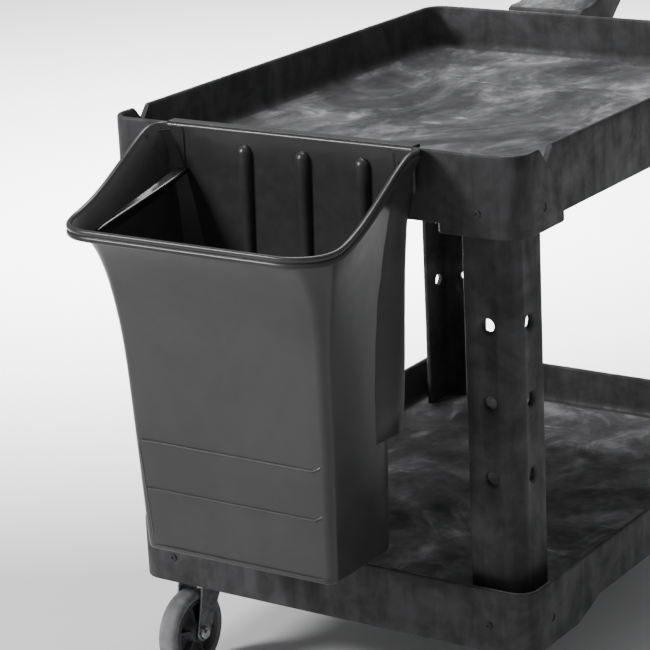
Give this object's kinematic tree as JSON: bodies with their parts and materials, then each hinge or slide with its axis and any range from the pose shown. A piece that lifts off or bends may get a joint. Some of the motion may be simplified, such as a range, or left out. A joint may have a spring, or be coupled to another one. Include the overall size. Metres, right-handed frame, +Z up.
{
  "type": "utility cart",
  "caption": "Deep-lipped two-shelf moulded utility cart on rigid and swivel casters, with a push bar and a flared refuse bin hooked over its end rim.",
  "frame": {"origin": "on the floor under the middle of the cart's bounding box, bin and push bar included", "axes": "+Z up, +Y along the cart's length from the bin end to the push-bar end, +X across it"},
  "size_m": [0.657, 1.413, 0.972],
  "materials": {
    "cart_plastic": "pebbled structural foam",
    "bin_plastic": "fine satin texture",
    "grip_rubber": "matte",
    "tread_rubber": "matte grey",
    "hub_plastic": "satin",
    "fork_steel": "zinc plated",
    "bolt_steel": "bright zinc"
  },
  "bodies": {
    "cart": {"top_shelf": "cart_plastic", "lower_shelf": "cart_plastic", "post_near_left": "cart_plastic", "post_near_right": "cart_plastic", "post_far_left": "cart_plastic", "post_far_right": "cart_plastic", "handle_base": "cart_plastic", "handle_arm_left": "cart_plastic", "handle_arm_right": "cart_plastic", "handle_grip": "grip_rubber", "grip_cap_left": "grip_rubber", "grip_cap_right": "grip_rubber", "far_left_fork": "fork_steel", "far_left_axle": "bolt_steel", "far_left_nut": "bolt_steel", "far_right_fork": "fork_steel", "far_right_axle": "bolt_steel", "far_right_nut": "bolt_steel", "near_left_plate": "fork_steel", "near_left_raceway": "fork_steel", "near_left_kingpin": "bolt_steel", "near_right_plate": "fork_steel", "near_right_raceway": "fork_steel", "near_right_kingpin": "bolt_steel"},
    "bin": {"bin": "bin_plastic"},
    "far_left_wheel": {"far_left_hub": "hub_plastic", "far_left_bushing": "bolt_steel", "far_left_tread": "tread_rubber"},
    "far_right_wheel": {"far_right_hub": "hub_plastic", "far_right_bushing": "bolt_steel", "far_right_tread": "tread_rubber"},
    "near_left_swivel": {"near_left_fork": "fork_steel", "near_left_axle": "bolt_steel", "near_left_nut": "bolt_steel"},
    "near_left_wheel": {"near_left_hub": "hub_plastic", "near_left_bushing": "bolt_steel", "near_left_tread": "tread_rubber"},
    "near_right_swivel": {"near_right_fork": "fork_steel", "near_right_axle": "bolt_steel", "near_right_nut": "bolt_steel"},
    "near_right_wheel": {"near_right_hub": "hub_plastic", "near_right_bushing": "bolt_steel", "near_right_tread": "tread_rubber"}
  },
  "joints": [
    {"name": "bin_lift", "type": "slide", "parent": "cart", "child": "bin", "axis": [0, 0, 1], "range_m": [0, 0.06]},
    {"name": "far_left_wheel_spin", "type": "hinge", "parent": "cart", "child": "far_left_wheel", "pos_m": [-0.2645, 0.3785, 0.0635], "axis": [1, 0, 0], "continuous": true},
    {"name": "far_right_wheel_spin", "type": "hinge", "parent": "cart", "child": "far_right_wheel", "pos_m": [0.2645, 0.3785, 0.0635], "axis": [1, 0, 0], "continuous": true},
    {"name": "near_left_swivel_turn", "type": "hinge", "parent": "cart", "child": "near_left_swivel", "pos_m": [-0.2645, -0.3785, 0.1375], "axis": [0, 0, 1], "continuous": true},
    {"name": "near_left_wheel_spin", "type": "hinge", "parent": "near_left_swivel", "child": "near_left_wheel", "pos_m": [-0.2645, -0.4135, 0.0635], "axis": [1, 0, 0], "continuous": true},
    {"name": "near_right_swivel_turn", "type": "hinge", "parent": "cart", "child": "near_right_swivel", "pos_m": [0.2645, -0.3785, 0.1375], "axis": [0, 0, 1], "continuous": true},
    {"name": "near_right_wheel_spin", "type": "hinge", "parent": "near_right_swivel", "child": "near_right_wheel", "pos_m": [0.2645, -0.4135, 0.0635], "axis": [1, 0, 0], "continuous": true}
  ]
}
